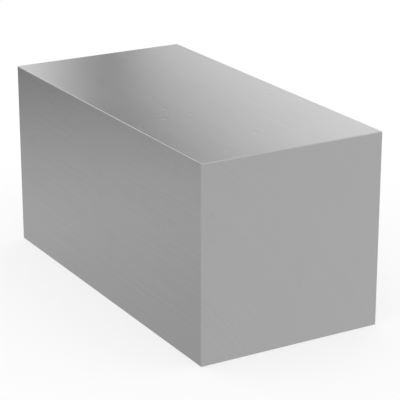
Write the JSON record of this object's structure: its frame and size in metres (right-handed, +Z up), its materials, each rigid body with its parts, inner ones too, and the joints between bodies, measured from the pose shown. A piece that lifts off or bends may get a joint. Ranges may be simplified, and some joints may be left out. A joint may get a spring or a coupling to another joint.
{
  "type": "steel bar",
  "caption": "Short solid bar of bright steel, square in section and twice as long, with lightly broken edges; raw stock to saw, machine, clamp or weld.",
  "frame": {"origin": "middle of the long face that the bar lies on", "axes": "+X along the bar's length, out of one cut end; +Y across its width; +Z up, out of the face opposite the one it lies on"},
  "size_m": [0.1, 0.05, 0.05],
  "materials": {
    "bright_steel": "satin, bright drawn, clean and free of rust"
  },
  "bodies": {
    "root": {"steel_bar": "bright_steel"}
  },
  "joints": []
}
